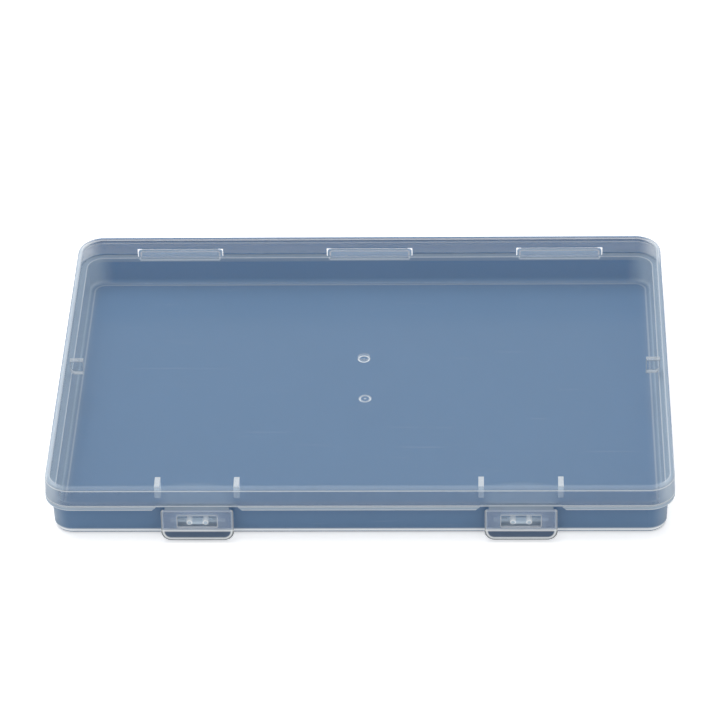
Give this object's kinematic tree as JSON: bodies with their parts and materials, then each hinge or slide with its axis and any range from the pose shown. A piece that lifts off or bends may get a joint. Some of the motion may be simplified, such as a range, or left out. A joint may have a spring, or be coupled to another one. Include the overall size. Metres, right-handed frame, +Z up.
{
  "type": "storage case",
  "caption": "Flat clear plastic storage case: shallow tray, hinged lid on folding rear straps, snap latch flaps along the front and guide tabs under the lid.",
  "frame": {"origin": "under the middle of the tray, on the surface that the case lies on", "axes": "+Z up through the lid, +X to the right seen from the latches, -Y the latch side"},
  "size_m": [0.23, 0.1677, 0.0224],
  "materials": {
    "tray_plastic": "clear moulded polypropylene with a blue-grey tint",
    "lid_plastic": "clear moulded polypropylene with a blue-grey tint",
    "hinge_plastic": "clear moulded polypropylene with a blue-grey tint",
    "latch_plastic": "clear moulded polypropylene with a blue-grey tint",
    "film_plastic": "clear moulded polypropylene with a blue-grey tint"
  },
  "bodies": {
    "base": {"base_tray": "tray_plastic", "catch_left": "tray_plastic", "catch_right": "tray_plastic"},
    "hinge_straps": {"hinge_strap_left": "hinge_plastic", "hinge_strap_centre": "hinge_plastic", "hinge_strap_right": "hinge_plastic", "lower_film_left": "film_plastic", "upper_film_left": "film_plastic", "lower_film_centre": "film_plastic", "upper_film_centre": "film_plastic", "lower_film_right": "film_plastic", "upper_film_right": "film_plastic"},
    "lid": {"lid_cover": "lid_plastic", "front_tab_left_outer": "lid_plastic", "front_tab_left_inner": "lid_plastic", "front_tab_right_outer": "lid_plastic", "front_tab_right_inner": "lid_plastic", "side_tab_left": "lid_plastic", "side_tab_right": "lid_plastic"},
    "latch_left": {"latch_flap_left": "latch_plastic", "latch_film_left": "film_plastic"},
    "latch_right": {"latch_flap_right": "latch_plastic", "latch_film_right": "film_plastic"}
  },
  "joints": [
    {"name": "strap_fold", "type": "hinge", "parent": "base", "child": "hinge_straps", "pos_m": [0, 0.082, 0.0109], "axis": [-1, 0, 0], "range_deg": [0, 90]},
    {"name": "lid_fold", "type": "hinge", "parent": "hinge_straps", "child": "lid", "pos_m": [0, 0.082, 0.0164], "axis": [-1, 0, 0], "range_deg": [0, 90]},
    {"name": "latch_left_fold", "type": "hinge", "parent": "lid", "child": "latch_left", "pos_m": [-0.0589, -0.0826, 0.0137], "axis": [-1, 0, 0], "range_deg": [-6.5, 110]},
    {"name": "latch_right_fold", "type": "hinge", "parent": "lid", "child": "latch_right", "pos_m": [0.0589, -0.0826, 0.0137], "axis": [-1, 0, 0], "range_deg": [-6.5, 110]}
  ],
  "couplings": [
    {"joint": "strap_fold", "follows": "lid_fold", "ratio": 1}
  ]
}
